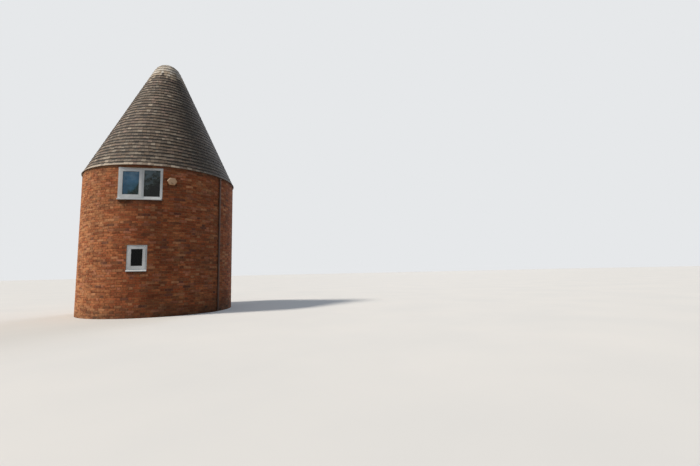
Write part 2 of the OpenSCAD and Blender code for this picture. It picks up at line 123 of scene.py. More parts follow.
def makePlain(name, surface, patches, stops, relief=None, strength=0.5, depth=1 * mm):
    # one finish all over: noise patches that a ramp colours, and a relief of (kind of pattern, its settings);
    # surface is its roughness, shine and metal
    material, add, place = startMaterial(name, *surface)
    colour = add("ValToRGB", add("TexNoise", place, **patches), stops=stops)
    height = add(relief[0], place, **relief[1]) if relief else None
    return finishMaterial(material, colour, height, strength, depth)


# the wall: bricks laid in Flemish bond, a header and a stretcher in turn

wallSizes = {
    "radius": 2.400,  # outside of the mortar, as in the frame
    "innerRadius": 2.070,
    "courseHeight": 75 * mm,
    "joint": 10 * mm,
    "header": 102.5 * mm,
    "pairs": 45,  # a header and a stretcher, this many times round
    "proud": 3.5 * mm,  # brick faces stand this far out of the mortar
    "bedded": 1.5 * mm,  # and the bricks begin this far inside it
    "wear": 2.5 * mm,  # worn arris
    "strayCourse": 0.12,  # degrees that a course is off its place, and a brick in it
    "strayBrick": 0.03,
    "strayBed": 1 * mm,
    "leastHeight": 14 * mm,  # a cut brick that is smaller is left out
    "leastLength": 22 * mm,
    "fireMark": 50 * mm,
    "pit": 6 * mm,
    "sand": 4 * mm,
    "dirt": 0.25,  # metres across
}
wallRadius, wallHead = wallSizes["radius"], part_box("front_wall")[1][2]
# the wall's weathering, and painted light: shade under the eaves and ledges, on the far side from the key
# light, and sunlight
wallWeatherAndPaintedLight = {
    "sootPatch": 0.9,  # metres across
    "bloomPatch": 0.55,
    "streak": (0.3, 0.3, 0.075),  # what the rain leaves along the courses
    "dampTop": 0.45,
    "shadedSideWay": 98,  # degrees round from the front: the side that the sun hardly reaches, painted darker with damp and painted shade
    "sunWay": -85,  # the side painted paler and yellower, as painted sunlight
    # how far down the painted shadow and grime reach from each ledge, and how far their border strays
    "ledges": {"upper_window_sill": 0.2, "lower_window_sill": 0.13, "alarm_box_base": 0.11},
    "stray": 40 * mm,
    "soot": "#5d3826",
    "bloom": "#cb9a6a",
    "damp": "#4a4033",
    "eavesShade": "#4d3326",
    "paintedSunlight": "#dda474",
    "grime": "#38261c",
    "limewash": "#cfc8ba",
}
brickTones = {  # share of the wall, face, darker fire marks
    "brickOrange": (0.24, "#bf754b", "#a45d3a"),
    "brickRed": (0.26, "#b3643f", "#974f30"),
    "brickRusset": (0.18, "#a55b3a", "#8a492d"),
    "brickBrown": (0.11, "#9a6043", "#7f4b33"),
    "brickPlum": (0.03, "#835141", "#683f34"),
    "brickBuff": (0.08, "#c88b65", "#ad704d"),
    "brickRose": (0.10, "#bf7a5d", "#a06046"),
}


def onSide(add, place, spread, way, reach, most):
    # a share that rises from 0 to most towards the side that faces way, with a ragged border
    level = add("VectorMath", place, (1, 1, 0), operation="MULTIPLY")
    outwards = add("VectorMath", level, operation="NORMALIZE")
    facing = add("VectorMath", outwards, ring(way, 1, 0), operation="DOT_PRODUCT")
    ragged = add("Math", spread, 0.5, facing, operation="MULTIPLY_ADD")
    return add("MapRange", ragged, *reach, 0, most)


def underLedges(add, place, spread):
    # where a sill or the alarm box keeps the rain off, from 1 right below it to 0; what is laid there is dirt
    # and painted shadow
    stray = wallWeatherAndPaintedLight["stray"]
    ragged = add("VectorMath", spread, (2 * stray,) * 3, (-stray,) * 3, operation="MULTIPLY_ADD")
    spot = add("SeparateXYZ", add("VectorMath", place, ragged, operation="ADD")).node.outputs
    total = 0
    for name, drop in wallWeatherAndPaintedLight["ledges"].items():
        low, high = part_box(name)
        across = add("Math", spot["X"], (low[0] + high[0]) / 2, (high[0] - low[0]) / 2, operation="COMPARE")
        beneath = add("Math", spot["Z"], low[2] - drop / 2, drop / 2 + 30 * mm, operation="COMPARE")
        column = add("Math", across, beneath, operation="MULTIPLY")
        total = add("Math", column, add("MapRange", spot["Z"], low[2] - drop, low[2]), total,
                    operation="MULTIPLY_ADD")
    front = add("Math", spot["Y"], 0, operation="LESS_THAN")
    return add("Math", total, front, operation="MULTIPLY")


def weatherAndLightWall(add, place, colour):
    # what years outdoors leave on brick and mortar alike, and painted light: rain streaks first, then the
    # layers in their order
    size = wallWeatherAndPaintedLight
    height = add("SeparateXYZ", place, out="Z")
    stretch = add("Mapping", place, Scale=[1 / n for n in size["streak"]])
    streaks = add("TexNoise", stretch, Scale=1, Detail=3, Roughness=0.7)
    colour = add("VectorMath", colour, add("MapRange", streaks, 0.35, 0.65, 0.8, 1.2), operation="SCALE")
    soot = add("TexNoise", place, size=size["sootPatch"], Detail=5, Roughness=0.62)
    rise = add("Math", soot, -0.5, height, operation="MULTIPLY_ADD")
    moved = add("VectorMath", place, (7, 3, 5), operation="ADD")
    bloom = add("TexNoise", moved, size=size["bloomPatch"], Detail=6, Roughness=0.72)
    paintedSunShare = onSide(add, place, bloom, size["sunWay"], (0.4, 1.2), 0.4)
    patchy = add("MapRange", streaks, 0.42, 0.62, 0.2, 1.9)
    ledgeShadowShare = underLedges(add, place, bloom.node.outputs["Color"])
    layers = (
        ("soot", add("MapRange", soot, 0.48, 0.7, 0, 0.4)),
        ("bloom", add("MapRange", bloom, 0.56, 0.74, 0, 0.42)),
        ("damp", add("MapRange", rise, -0.3, size["dampTop"] - 0.2, 0.6, 0)),
        # painted shade: the wall darkens towards its head, under the eaves
        ("eavesShade", add("MapRange", height, wallHead - 0.2, wallHead - 0.03, 0, 0.7)),
        # damp and painted shade: darker on the side away from the key light
        ("damp", onSide(add, place, soot, size["shadedSideWay"], (0.6, 0.9), 0.2)),
        # painted sunlight: paler and yellower, in patches, towards the side the key light comes from
        ("paintedSunlight", add("Math", paintedSunShare, patchy, operation="MULTIPLY")),
        # dirt and painted shadow: darker in a band below each sill and the alarm box
        ("grime", add("Math", ledgeShadowShare, 0.7, operation="MULTIPLY")),
    )
    for layer, share in layers:
        colour = add("Mix", share, colour, size[layer], data_type="RGBA")
    return colour


def makeBrick(name, face, mark):
    # sand-faced clay from a clamp: no gloss at all, marked by the fire, pitted so that it looks soft
    material, add, place = startMaterial(name, 0.93, 0.25)
    marks = add("TexNoise", place, size=wallSizes["fireMark"], Detail=3, Roughness=0.6)
    base = add("ValToRGB", marks, stops=[(0.35, mark), (0.6, face)])
    tone = add("Attribute", attribute_name="tone", out="Fac")
    toned = add("VectorMath", base, add("MapRange", tone, 0, 1, 0.76, 1.2), operation="SCALE")
    pits = add("TexNoise", place, size=wallSizes["pit"], Detail=3, Roughness=0.7)
    return finishMaterial(material, weatherAndLightWall(add, place, toned), pits, 0.5, 1.5 * mm)


def makeMortar():
    # lime and sharp sand, brushed and washed out a little: pale, gritty and dead matt; limewashed inside
    material, add, place = startMaterial("limeMortar", 0.95, 0.2)
    grit = add("TexNoise", place, size=wallSizes["sand"], Detail=2)
    dirt = add("TexNoise", place, size=wallSizes["dirt"], Detail=4)
    joint = add("ValToRGB", dirt, stops=[(0.3, "#805e43"), (0.7, "#a98159")])
    radius = add("VectorMath", add("VectorMath", place, (1, 1, 0), operation="MULTIPLY"), operation="LENGTH")
    inside = add("Math", radius, wallSizes["innerRadius"] + 10 * mm, operation="LESS_THAN")
    bleachedAndShaded = add("Mix", inside, weatherAndLightWall(add, place, joint), wallWeatherAndPaintedLight["limewash"], data_type="RGBA")
    return finishMaterial(material, bleachedAndShaded, grit, 0.6)


brickMaterials = [makeBrick(name, face, mark) for name, (share, face, mark) in brickTones.items()]
brickShares = [share for share, face, mark in brickTones.values()]
mortar = makeMortar()


def newBuild():
    return {"verts": [], "faces": [], "kinds": [], "tones": [], "uvs": []}


def addShape(build, verts, faces, kind=None, tone=0.5, uvs=()):
    # faces count from the shape's own first corner; kind is the number of their material
    start = len(build["verts"])
    build["verts"] += verts
    build["faces"] += [[start + v for v in face] for face in faces]
    build["uvs"] += uvs
    if kind is not None:
        build["kinds"] += [kind] * len(faces)
        build["tones"] += [tone] * len(faces)


def addObject(name, data):
    thing = bpy.data.objects.new(name, data)
    bpy.context.scene.collection.objects.link(thing)
    return thing


def addPiece(name, build, materials, smooth=False):
    mesh = bpy.data.meshes.new(name)
    mesh.from_pydata(build["verts"], [], build["faces"])
    for material in materials:
        mesh.materials.append(material)
    if build["kinds"]:
        mesh.polygons.foreach_set("material_index", build["kinds"])
        mesh.attributes.new("tone", "FLOAT", "FACE").data.foreach_set("value", build["tones"])
    if build["uvs"]:
        mesh.uv_layers.new(name="board").data.foreach_set("uv", [n for uv in build["uvs"] for n in uv])
    if smooth:
        mesh.polygons.foreach_set("use_smooth", [True] * len(mesh.polygons))
    mesh.update()
    piece = addObject(name, mesh)
    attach(piece, "root")
    return piece


def addBox(build, low, high, kind=None, tone=0.5, side=1):
    # a side of -1 mirrors it to the left
    left, right = sorted((side * low[0], side * high[0]))
    outline = ((left, low[1]), (right, low[1]), (right, high[1]), (left, high[1]))
    verts = [(x, y, z) for x, y in outline for z in (low[2], high[2])]
    quads = ((0, 2, 3, 1), (2, 4, 5, 3), (4, 6, 7, 5), (6, 0, 1, 7), (1, 3, 5, 7), (6, 4, 2, 0))
    addShape(build, verts, quads, kind, tone)


def gridQuads(rows, length, down, across):
    # quads over rows of corners, length to a row; where all are used, the last close on the first
    return [(k * length + i, k * length + (i + 1) % length, (k + 1) % rows * length + (i + 1) % length,
             (k + 1) % rows * length + i) for k in range(down) for i in range(across)]


def addTurned(name, profile, steps, places, material, closed=True, smooth=False):
    # a piece with the same turned shape at each place: profile is (radius, height) pairs, turned round the
    # local Z axis, and closed puts a lid on each end
    build = newBuild()
    turns = [2 * pi * i / steps for i in range(steps)]
    rows = len(profile)
    faces = gridQuads(rows, steps, rows - 1, steps)
    if closed:
        faces += [range(steps)[::-1], range((rows - 1) * steps, rows * steps)]
    for place in places:
        verts = [place @ Vector((r * cos(a), r * sin(a), z)) for r, z in profile for a in turns]
        addShape(build, verts, faces)
    addPiece(name, build, [material], smooth)


def roundEdges(piece, width, segments=2):
    bevel = piece.modifiers.new("edges", "BEVEL")
    bevel.width = width
    bevel.segments = segments
    bevel.limit_method = "ANGLE"
    bevel.angle_limit = radians(30)


def dress(nodeNames, material, edges=0):
    # gives CAD nodes their finish, and takes the sharpness off their edges
    for name in nodeNames:
        piece = nodes[name]
        if not piece.material_slots:
            piece.data.materials.append(material)
        for place in piece.material_slots:
            place.material = material
        if edges:
            roundEdges(piece, edges)


openingGap = 4 * mm
doorArch = {"rise": 215 * mm, "brick": 65 * mm, "overlap": 75 * mm, "gap": 2 * mm}


def findOpening(names, middle):
    # angle of its middle from the front, half its width, lowest and highest
    lows, highs = zip(*(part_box(name) for name in names))
    half = max(abs(corner[0]) for corner in lows + highs)
    return (middle, half + openingGap, min(low[2] for low in lows) - openingGap,
            max(high[2] for high in highs) + openingGap)


openings = [
    findOpening(["upper_window_frame", "upper_window_sill"], 0),
    findOpening(["lower_window_frame", "lower_window_sill"], 0),
    findOpening(["door_frame"], 180),
]
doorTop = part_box("door_frame")[1][2]
archHalf = openings[2][1] + doorArch["overlap"]
openings.append((180, archHalf, doorTop, doorTop + doorArch["rise"] + doorArch["gap"]))
doorTurn = degrees(asin(openings[2][1] / wallRadius))


def cutBrick(a0, a1, z0, z1):
    # a brick is cut where it meets an opening, and left out where little of it would be left
    cutGap, beside = 3 * mm, 0.6  # the share of its height that makes an opening lie beside it
    for middle, half, low, high in openings:
        turn = degrees(asin(half / wallRadius))
        left, right = middle - turn, middle + turn
        if a1 <= left or a0 >= right or z1 <= low or z0 >= high:
            continue
        if (min(z1, high) - max(z0, low)) / (z1 - z0) < beside:
            if z0 < low:
                z1 = low - cutGap
            else:
                z0 = high + cutGap
        elif a0 < left:
            a1 = left
        elif a1 > right:
            a0 = right
        else:
            return None
    long = radians(a1 - a0) * wallRadius
    if z1 - z0 < wallSizes["leastHeight"] or long < wallSizes["leastLength"]:
        return None
    return a0, a1, z0, z1


def brickBlock(build, a0, a1, z0, z1):
    # the face of a brick is flat, however round the wall, and its arrises are worn
    size = wallSizes
    face = wallRadius + size["proud"] + dice.uniform(-1.2, 1.2) * mm
    face /= cos(radians(a1 - a0) / 2)
    wear = size["wear"]
    turn = degrees(wear / wallRadius)
    corners = ((a0, z0, 1, 1), (a1, z0, -1, 1), (a1, z1, -1, -1), (a0, z1, 1, -1))
    verts = [ring(a, radius, z) for radius in (wallRadius - size["bedded"], face - wear)
             for a, z, sideA, sideZ in corners]
    for a, z, sideA, sideZ in corners:
        nick = dice.uniform(0.7, 1.9)
        out = face + dice.uniform(-0.5, 0.5) * mm
        verts.append(ring(a + sideA * turn * nick, out, z + sideZ * wear * nick))
    quads = [(8, 9, 10, 11)]
    for i in range(4):
        j = (i + 1) % 4
        quads += [(4 + i, 4 + j, 8 + j, 8 + i), (i, j, 4 + j, 4 + i)]
    kind, tone = dice.choices(range(len(brickShares)), brickShares)[0], dice.random()
    addShape(build, verts, quads, kind, tone)
    return kind, tone


def jambReturn(build, side, z0, z1, kind, tone):
    # the side of a brick that shows in the doorway
    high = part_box("door_frame")[1]
    lap = 1.5 * mm
    inner, outer = high[0] - lap, high[0] + openingGap
    faceY = sqrt(wallRadius ** 2 - outer ** 2) + wallSizes["proud"] - lap
    addBox(build, (inner, high[1] + 1 * mm, z0), (outer, faceY, z1), kind, tone, side)


def layBrick(builds, a0, a1, z0, z1):
    # goes into the segment where its middle is, and closes the side of the doorway if it ends there
    middle = (a0 + a1) / 2 % 360
    move = (middle if middle < 270 else middle - 360) - (a0 + a1) / 2
    move += dice.uniform(-1, 1) * wallSizes["strayBrick"]
    drop = dice.uniform(-1, 1) * wallSizes["strayBed"]
    cut = cutBrick(a0 + move, a1 + move, z0 + drop, z1 + drop)
    if not cut:
        return
    build = builds[segmentNames[int((middle + segmentTurn / 2) % 360 // segmentTurn)]]
    kind, tone = brickBlock(build, *cut)
    for side, edge in ((1, cut[1]), (-1, cut[0])):  # +X is at the smaller angle here, seen from behind
        if abs(edge - (180 - side * doorTurn)) < 1e-6 and cut[3] < doorTop:
            jambReturn(build, side, cut[2], cut[3], kind, tone)


def layBricks():
    size = wallSizes
    builds = {name: newBuild() for name in segmentNames}
    courses = round(wallHead / size["courseHeight"])
    half = size["joint"] / 2
    pairTurn = 360 / size["pairs"]
    jointTurn, headerTurn = (degrees(size[part] / wallRadius) for part in ("joint", "header"))
    for course in range(courses):
        z0 = course * size["courseHeight"] + half
        z1 = z0 + size["courseHeight"] - size["joint"]
        shift = (course % 2) * pairTurn / 2 + dice.uniform(-1, 1) * size["strayCourse"]
        for pair in range(size["pairs"]):
            begin = pair * pairTurn + shift
            end = begin + headerTurn
            layBrick(builds, begin, end, z0, z1)
            layBrick(builds, end + jointTurn, begin + pairTurn - jointTurn, z0, z1)
    # bricks on end over the door
    count = round(2 * archHalf / (doorArch["brick"] + size["joint"]))
    step = 2 * archHalf / count
    for i in range(count):
        edges = (-archHalf + i * step + half, -archHalf + (i + 1) * step - half)
        turns = [180 + degrees(asin(x / wallRadius)) for x in edges]
        brickBlock(builds["back"], *turns, doorTop + half, doorTop + doorArch["rise"])
    for name, build in builds.items():
        addPiece(camel(name) + "Bricks", build, brickMaterials)
    print("bricks laid in", courses, "courses:", sum(len(b["faces"]) for b in builds.values()) // 9)


layBricks()
dress([name + "_wall" for name in segmentNames], mortar)


# the roof: split timber shingles in courses, over a skin of felt

roofSizes = {
    "pitch": 65.2,  # degrees
    "footRadius": 2.402,  # underside of the covering at the wall head
    "gauge": 138 * mm,
    "butt": 23.5 * mm,  # thickness of the covering at a butt
    "lap": 12 * mm,
    "head": 4 * mm,  # thickness of a shingle at its head
    "eavesDouble": 8 * mm,
    "doubled": 0.11,  # how far up the short eaves course reaches
    "drip": 24 * mm,
    "crownRadius": 0.435,
    "board": 11 * mm,  # thickness of one shingle at its butt
    "cover": 60 * mm,  # how far a shingle runs on under the next course
    "widths": (80 * mm, 160 * mm),
    "gap": 4 * mm,
    "ragged": 7 * mm,
    "straight": 1 * mm,  # as ragged as the eaves are
    "wander": 10 * mm,  # how far a course strays from level, laid by eye as it was
    "bleached": (125 * mm, 205 * mm),  # from the butt to where the wood is dark, which differs by board
    "rowTones": (0.1, -0.08, 0.16, -0.02, -0.16, 0.07, 0.14, -0.12, 0.02, -0.05, 0.18),  # some are paler
    "felt": 5 * mm,
    "feltDrip": 10 * mm,
    "grain": (7 * mm, 0.12),  # drawn coarse enough to show
    "lichen": 80 * mm,
    "dampPatch": 0.8,  # metres across
}
shingleTones = {  # share of the roof, face, grain
    "shingleGrey": (0.30, "#998a7b", "#6e6154"),
    "shingleDark": (0.17, "#7f7165", "#5a4f45"),
    "shingleBrown": (0.25, "#92806f", "#685747"),
    "shingleRose": (0.12, "#9e8a7d", "#746054"),
    "shingleSilver": (0.17, "#ada092", "#817665"),
    "shingleBleached": (0.03, "#c6b8a7", "#9e9181"),  # paler boards, above all along the sunny eaves, where they are painted sunlight
}
crownTones = {  # face, grain
    "crownStraw": ("#c9b8a2", "#ab9b87"),
    "crownCream": ("#e0d6c6", "#ccc0ae"),
    "crownPale": ("#e6dfd4", "#dad2c5"),
}
# greys at the butt, where the next course shades it and under it, which are painted shade; boards' darkest
# and brightest; how much damp, and how much algae and painted shade on the side away from the key light
roofWeatherAndShade = {"butt": "#9a9a9a", "shaded": "#565656", "covered": "#262626", "tones": (0.62, 1.14),
               "damp": 0.4, "algae": 0.64}
crownWeatherAndShade = {"butt": "#f0f0f0", "shaded": "#dadada", "covered": "#b0b0b0", "tones": (0.92, 1.0),
                "damp": 0.06, "algae": 0.42}
# the highest rows, from the top: shares of straw, cream, pale and the roof's own greys
topWeights = {0: (0, 3, 7, 0), 1: (2, 5, 3, 0), 2: (6, 3, 0, 1), 3: (4, 0, 0, 5), 4: (2, 0, 0, 8)}


def makeShingle(name, face, grain, weatherAndShade):
    # split cedar, silvered where rain and sun reach it, and dark with painted shade where the butt above
    # shades it
    size = roofSizes
    material, add, place = startMaterial(name, 0.8, 0.4)
    tone = add("Attribute", attribute_name="tone", out="Fac")
    spot = add("SeparateXYZ", add("UVMap", uv_map="board")).node.outputs
    depth = add("Math", tone, 40, operation="MULTIPLY")  # no two boards alike
    sample = add("CombineXYZ", spot["X"], spot["Y"], depth)
    stretch = add("Mapping", sample, Scale=(1 / size["grain"][0], 1 / size["grain"][1], 1))
    lines = add("TexNoise", stretch, Scale=1, Detail=4, Roughness=0.65)
    base = add("ValToRGB", lines, stops=[(0.34, grain), (0.6, face)])
    chance = add("TexWhiteNoise", depth, noise_dimensions="1D")
    along = add("MapRange", spot["Y"], 0, add("MapRange", chance, 0, 1, *size["bleached"]))
    # weathering and painted shade along each board: pale from its butt, dark where the next course shades and
    # covers it
    bleachAndShade = add("ValToRGB", along, stops=[
        (0, weatherAndShade["butt"]), (0.07, "#ffffff"), (0.42, "#f2f2f2"), (0.64, weatherAndShade["shaded"]),
        (0.8, weatherAndShade["covered"]), (1, weatherAndShade["covered"])])
    bleachedAndShaded = add("VectorMath", base, bleachAndShade, operation="MULTIPLY")
    colour = add("VectorMath", bleachedAndShaded, add("MapRange", tone, 0, 1, *weatherAndShade["tones"]), operation="SCALE")
    lichen = add("TexNoise", place, size=size["lichen"], Detail=5, Roughness=0.7)
    damp = add("TexNoise", place, size=size["dampPatch"], Detail=4, Roughness=0.6)
    layers = (
        ("#928a75", add("MapRange", lichen, 0.6, 0.72, 0, 0.2)),
        ("#40382f", add("MapRange", damp, 0.5, 0.7, 0, weatherAndShade["damp"])),
        # algae and painted shade: darker on the side away from the key light
        ("#2b2825", onSide(add, place, damp, wallWeatherAndPaintedLight["shadedSideWay"], (0.5, 0.8), weatherAndShade["algae"])),
    )
    for layer, share in layers:
        colour = add("Mix", share, colour, layer, data_type="RGBA")
    return finishMaterial(material, colour, lines, 0.6, 1.5 * mm)


# roofing felt: it only ever shows as black in the gaps
fibres = {"size": 10 * mm, "Detail": 3}
felt = makePlain("roofingFelt", (0.95,), fibres, [(0.3, "#1c1815"), (0.7, "#2d2722")], ("TexNoise", fibres))
shingleMaterials = [makeShingle(name, face, grain, roofWeatherAndShade)
                    for name, (share, face, grain) in shingleTones.items()]
crownMaterials = [makeShingle(name, face, grain, crownWeatherAndShade) for name, (face, grain) in crownTones.items()]
shingleShares = [share for share, face, grain in shingleTones.values()]
own = len(shingleShares)
bleached = list(shingleTones).index("shingleBleached")
pitch = radians(roofSizes["pitch"])
slopeLength = (roofSizes["footRadius"] - roofSizes["crownRadius"]) / cos(pitch)


def onCone(s, n):
    # radius and height at s up the slope and n out from the underside of the covering
    return (roofSizes["footRadius"] - s * cos(pitch) + n * sin(pitch),
            wallHead + s * sin(pitch) + n * cos(pitch))


def wander(angle, row):
    # how far the butts of a course lie above or below its line
    turn = radians(angle)
    return roofSizes["wander"] * (0.5 * sin(5 * turn + 1.7 * row) + 0.3 * sin(13 * turn + 2.9 * row)
                                  + 0.2 * sin(31 * turn + 4.1 * row))


def sunlit(angle):
    # near 1 on the side painted as sunlit, near 0 on the other
    return 0.5 + 0.45 * cos(radians(angle - wallWeatherAndPaintedLight["sunWay"]))


def layBoard(build, a0, a1, lower, upper, kind, tone, ragged, strayed=(0, 0)):
    # one shingle; lower and upper are its butt and its head, each an outer and an inner (radius, height)
    columns = 3
    middle, half = (a0 + a1) / 2, radians(a1 - a0) / 2
    width = 2 * half * lower[0][0]
    long = hypot(upper[0][0] - lower[0][0], upper[0][1] - lower[0][1])
    slant = [way + dice.uniform(-1, 1) * ragged for way in strayed]
    verts = []
    for row, point in enumerate((lower[1], lower[0], upper[0], upper[1])):
        for i in range(columns + 1):
            a = a0 + (a1 - a0) * i / columns
            r = point[0] * cos(half) / cos(radians(a - middle))
            r += dice.uniform(-0.7, 0.7) * mm if 0 < i < columns else 0
            step = slant[0] + (slant[1] - slant[0]) * i / columns if row < 2 else 0
            verts.append(ring(a, r - step * cos(pitch), point[1] + step * sin(pitch)))
    n = columns + 1
    faces = gridQuads(4, n, 4, columns) + [(0, n, 2 * n, 3 * n), (n - 1, 4 * n - 1, 3 * n - 1, 2 * n - 1)]
    face = roofSizes["board"]
    along = (0, face, face + long, face + long + 10 * mm)  # up the butt, up the board and over its head
    uvs = [(width * (v % n) / columns, along[v // n]) for corners in faces for v in corners]
    addShape(build, verts, faces, kind, tone, uvs)


def boardEdges(begin, end, radius, low, high):
    # random widths that fill the way from one angle to another
    cuts = [begin]
    while cuts[-1] < end:
        cuts.append(cuts[-1] + degrees(dice.uniform(low, high) / radius))
    stretch = (end - begin) / (cuts[-1] - begin)
    return [begin + (cut - begin) * stretch for cut in cuts]


def feltSkin(build, begin, end, section, kind):
    # a closed skin turned through part of a circle from a section of (radius, height) points
    steps = 12
    verts = [ring(begin + (end - begin) * i / steps, r, z) for r, z in section for i in range(steps + 1)]
    faces = gridQuads(len(section), steps + 1, len(section), steps)
    addShape(build, verts, faces, kind, 0.5, [(0, 0)] * 4 * len(faces))


def layCourse(build, begin, end, row, rows):
    # one course of a segment; gives the number of its shingles
    size = roofSizes
    rowTone = 0.45 + size["rowTones"][row % len(size["rowTones"])]
    s0 = row * size["gauge"] - size["drip"]
    s1 = min(s0 + size["gauge"] + size["cover"], slopeLength) if row < rows - 1 else slopeLength
    n0 = size["butt"] + (size["eavesDouble"] if row == 0 else 0)
    n1 = max(n0 + (size["lap"] - n0) / size["gauge"] * (s1 - s0), 3 * mm)
    radius = onCone(s0, n0)[0]
    share = min(1, 0.45 + 0.5 * radius)  # narrower boards near the top
    gapTurn = degrees(size["gap"] / radius)
    edges = boardEdges(begin, end, radius, *[width * share for width in size["widths"]])
    for a0, a1 in zip(edges, edges[1:]):
        proud = (dice.uniform(-3, 1) if row else dice.uniform(-1, 0)) * mm
        lower = (onCone(s0, n0 + proud), onCone(s0, n0 - size["board"] + proud))
        upper = (onCone(s1, n1), onCone(s1, max(n1 - size["head"], 0.5 * mm)))
        kind = dice.choices(range(own), shingleShares)[0]
        if row == 0:
            ragged, strayed = size["straight"], (0, 0)
            # painted sunlight: the eaves course is paler towards the side the key light comes from
            kind = dice.choices((bleached, kind), (sunlit(a0), 1 - sunlit(a0)))[0]
            tone = dice.uniform(0.5, 0.7) + 0.3 * sunlit(a0)
        else:
            ragged, strayed = size["ragged"], (wander(a0, row), wander(a1, row))
            if rows - 1 - row in topWeights:
                kind = dice.choices((own, own + 1, own + 2, kind), topWeights[rows - 1 - row])[0]
            tone = rowTone + dice.uniform(-0.35, 0.35)
        half = gapTurn * dice.uniform(0.3, 0.8)
        layBoard(build, a0 + half, a1 - half, lower, upper, kind, tone, ragged, strayed)
    total = len(edges) - 1
    if row == 0:  # the short course that doubles the eaves, with its joints set off
        foot, top = s0 + 3 * mm, s0 + size["doubled"]
        lower = (onCone(foot, n0 - size["board"] - 0.5 * mm), onCone(foot, 0.5 * mm))
        upper = (onCone(top, size["lap"]), onCone(top, 0.5 * mm))
        edges = boardEdges(begin, end, radius, *size["widths"])
        for a0, a1 in zip(edges, edges[1:]):
            # painted sunlight, as on the eaves course
            kind = dice.choices((bleached, 0), (sunlit(a0), 1 - sunlit(a0)))[0]
            layBoard(build, a0 + gapTurn / 3, a1 - gapTurn / 3, lower, upper, kind, dice.random(),
                     size["straight"])
    return total


def layShingles():
    materials = shingleMaterials + crownMaterials + [felt]
    rows = round((slopeLength + roofSizes["drip"]) / roofSizes["gauge"])
    foot, thick = -roofSizes["feltDrip"], roofSizes["felt"]
    section = [onCone(foot, 0), onCone(foot, thick), onCone(slopeLength, thick), onCone(slopeLength, 0)]
    total = 0
    for index, name in enumerate(segmentNames):
        build = newBuild()
        begin = (index - 0.5) * segmentTurn
        end = begin + segmentTurn
        total += sum(layCourse(build, begin, end, row, rows) for row in range(rows))
        feltSkin(build, begin, end, section, len(materials) - 1)
        piece = addPiece(camel(name) + "Shingles", build, materials)
        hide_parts(name + "_roof")
    print("shingles laid in", rows, "courses:", total)


layShingles()


# the crown: a ball that the cone runs into, with short pale courses and a sheet cap

crownSizes = {
    "courses": ((4, 6), (3, 7), (2, 8)),  # shares of cream and pale, paler towards the top
    "widths": (75 * mm, 120 * mm),
    "gap": 3 * mm,
    "head": (9 * mm, 2 * mm),
    "ragged": 2 * mm,
    "cover": 4,  # degrees that a board runs on under the next course
    "drop": 1.2,  # degrees that the lowest course laps the cone
    "felt": (1 * mm, 3 * mm),  # inside and outside
    "feltStep": 8,  # degrees
    "capRadius": 0.190,
    "capThickness": 12 * mm,
    "capRoll": 5 * mm,
}
ballRadius = roofSizes["crownRadius"] / sin(pitch)
ballHeight = onCone(slopeLength, 0)[1] - ballRadius * cos(pitch)
capTurn = degrees(asin(crownSizes["capRadius"] / ballRadius))


def onBall(p, n):
    # p degrees from straight up, n out from the underside of the crown's covering
    a = radians(p)
    return ((ballRadius + n) * sin(a), ballHeight + (ballRadius + n) * cos(a))


def layCrown():
    size = crownSizes
    build = newBuild()
    start, butt = roofSizes["pitch"], roofSizes["butt"]
    cream = list(crownTones).index("crownCream")
    step = (start - capTurn) / len(size["courses"])
    for row, weights in enumerate(size["courses"]):
        p0 = start - row * step + (size["drop"] if row == 0 else 0)
        p1 = start - (row + 1) * step - size["cover"]
        radius = onBall(p0, 0)[0]
        half = degrees(size["gap"] / 2 / radius)
        edges = boardEdges(0, 360, radius, *size["widths"])
        for a0, a1 in zip(edges, edges[1:]):
            n0 = butt + dice.uniform(-2, 0) * mm
            lower = (onBall(p0, n0), onBall(p0, n0 - roofSizes["board"]))
            upper = [onBall(p1, out) for out in size["head"]]
            kind = dice.choices((cream, cream + 1), weights)[0]
            tone = dice.uniform(0.2, 1)
            layBoard(build, a0 + half, a1 - half, lower, upper, kind, tone, size["ragged"])
    turns = [start - i * size["feltStep"] for i in range(7)]
    inside, outside = size["felt"]
    shell = [onBall(p, inside) for p in turns] + [onBall(p, outside) for p in turns[::-1]]
    for i in range(len(segmentNames)):
        feltSkin(build, i * segmentTurn, (i + 1) * segmentTurn, shell, len(crownMaterials))
    piece = addPiece("crownShingles", build, crownMaterials + [felt])
    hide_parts("crown_courses")


def makeCapRim(material):
    # the cap's edge is rolled under
    r, z = onBall(capTurn, roofSizes["lap"] + crownSizes["capThickness"] / 2)
    roll = crownSizes["capRoll"]
    turns = [radians(30 * i) for i in range(13)]
    profile = [(r + roll * cos(a), z + roll * sin(a)) for a in turns]
    addTurned("capRim", profile, 72, [Matrix()], material, closed=False, smooth=True)


layCrown()
# sheet metal under old cream paint gone chalky: pale, dull, patchy, faintly dented
capSheet = makePlain("chalkyPaintedSheet", (0.6, 0.4), {"size": 60 * mm, "Detail": 5, "Roughness": 0.7},
                     [(0.3, "#c9bfac"), (0.5, "#ddd6c7"), (0.7, "#e6e0d5")],
                     ("TexNoise", {"size": 0.15, "Detail": 1}), 0.4, 6 * mm)
dress(["crown_cap"], capSheet, 3 * mm)
makeCapRim(capSheet)
print("crown laid")


# windows: white extruded frames, black gaskets, sealed glass units

